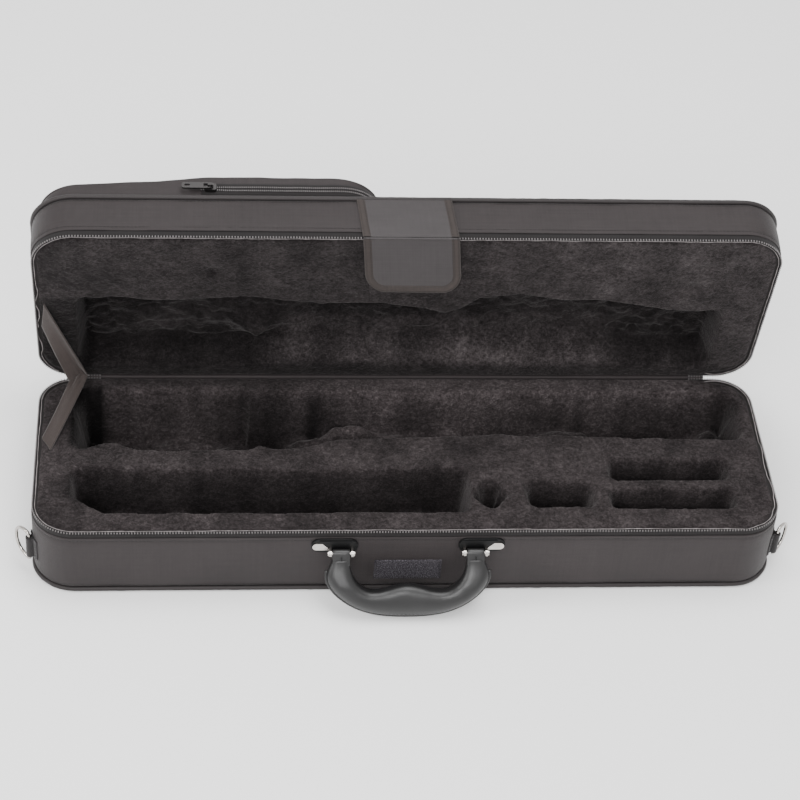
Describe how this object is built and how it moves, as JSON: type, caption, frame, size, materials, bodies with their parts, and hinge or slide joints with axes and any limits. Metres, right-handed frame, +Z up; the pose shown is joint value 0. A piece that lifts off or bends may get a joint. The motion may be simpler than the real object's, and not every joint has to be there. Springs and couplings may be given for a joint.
{
  "type": "soprano saxophone case",
  "caption": "Soft oblong instrument case with a zipped hinged lid, plush lined wells, padded handle and strap rings.",
  "frame": {"origin": "centre of the base's flat underside", "axes": "+X along the case's length to the viewer's right, +Y from the handle side to the hinge side, +Z up"},
  "size_m": [0.7442, 0.3224, 0.303],
  "materials": {
    "board": "raw",
    "nylon": "fine woven",
    "flap_fabric": "woven",
    "piping": "satin",
    "zip_tape": "woven",
    "zip_coil": "gloss",
    "lining_edge": "cut edge",
    "plush": "plush",
    "webbing": "woven",
    "webbing_tab": "woven",
    "hook_tape": "hooked",
    "black_moulding": "satin",
    "nickel": "polished",
    "leatherette": "satin",
    "spring_steel": "rolled",
    "gunmetal": "dark"
  },
  "bodies": {
    "base": {"base_shell": "board", "base_bottom_cover": "nylon", "base_side_cover": "nylon", "base_piping": "piping", "base_zip_tape": "zip_tape", "base_zip_coil": "zip_coil", "base_lining_edge": "lining_edge", "base_insert": "plush", "hinge_strip": "nylon", "stay_strap": "webbing", "hook_patch": "hook_tape", "bracket_pad_left": "black_moulding", "bracket_pad_right": "black_moulding", "bracket_left": "nickel", "bracket_right": "nickel", "handle_pin_left": "nickel", "handle_pin_right": "nickel", "ring_tab_left": "webbing_tab", "ring_tab_right": "webbing_tab", "main_slider_left": "gunmetal", "main_slider_right": "gunmetal"},
    "lid": {"lid_shell": "board", "lid_top_cover": "nylon", "lid_side_cover": "nylon", "lid_piping": "piping", "lid_zip_tape": "zip_tape", "lid_zip_coil": "zip_coil", "lid_lining_edge": "lining_edge", "lid_insert": "plush", "flap_upper": "flap_fabric", "pocket_gusset": "nylon", "pocket_panel": "nylon", "pocket_zip_tape": "zip_tape", "pocket_zip_coil": "zip_coil"},
    "flap": {"flap_lower": "flap_fabric", "loop_patch": "hook_tape"},
    "handle": {"handle_grip": "leatherette", "handle_core": "spring_steel"},
    "carry_ring_left": {"carry_ring_left": "nickel"},
    "carry_ring_right": {"carry_ring_right": "nickel"},
    "pocket_slider": {"pocket_slider": "gunmetal"},
    "pocket_pull": {"pocket_pull": "gunmetal"},
    "main_pull_left": {"main_pull_left": "gunmetal"},
    "main_pull_right": {"main_pull_right": "gunmetal"}
  },
  "joints": [
    {"name": "lid_hinge", "type": "hinge", "parent": "base", "child": "lid", "pos_m": [0, 0.106, 0.079], "axis": [1, 0, 0], "range_deg": [-23, 80], "deforming": ["hinge_strip", "stay_strap"]},
    {"name": "flap_bend", "type": "hinge", "parent": "lid", "child": "flap", "pos_m": [0, 0.06778, 0.28885], "axis": [1, 0, 0], "range_deg": [-75.5, 22]},
    {"name": "handle_swing", "type": "hinge", "parent": "base", "child": "handle", "pos_m": [-0.0035, -0.114, 0.058], "axis": [-1, 0, 0], "range_deg": [-12, 127]},
    {"name": "ring_left_swivel", "type": "hinge", "parent": "base", "child": "carry_ring_left", "pos_m": [-0.35761, -0.07984, 0.034], "axis": [0, 0, 1], "range_deg": [-15, 150]},
    {"name": "ring_right_swivel", "type": "hinge", "parent": "base", "child": "carry_ring_right", "pos_m": [0.35761, -0.07984, 0.034], "axis": [0, 0, 1], "range_deg": [-150, 15]},
    {"name": "pocket_slider_slide", "type": "slide", "parent": "lid", "child": "pocket_slider", "axis": [1, 0, 0], "range_m": [0, 0.112]},
    {"name": "pocket_pull_hinge", "type": "hinge", "parent": "pocket_slider", "child": "pocket_pull", "pos_m": [-0.1885, 0.13016, 0.30016], "axis": [0, 0.9848, 0.1736], "range_deg": [0, 150]},
    {"name": "main_pull_left_hinge", "type": "hinge", "parent": "base", "child": "main_pull_left", "pos_m": [-0.301, 0.1112, 0.0705], "axis": [1, 0, 0], "range_deg": [0, 65]},
    {"name": "main_pull_right_hinge", "type": "hinge", "parent": "base", "child": "main_pull_right", "pos_m": [0.301, 0.1112, 0.0705], "axis": [1, 0, 0], "range_deg": [0, 65]}
  ],
  "couplings": [
    {"joint": "flap_bend", "follows": "lid_hinge", "ratio": -0.94}
  ]
}
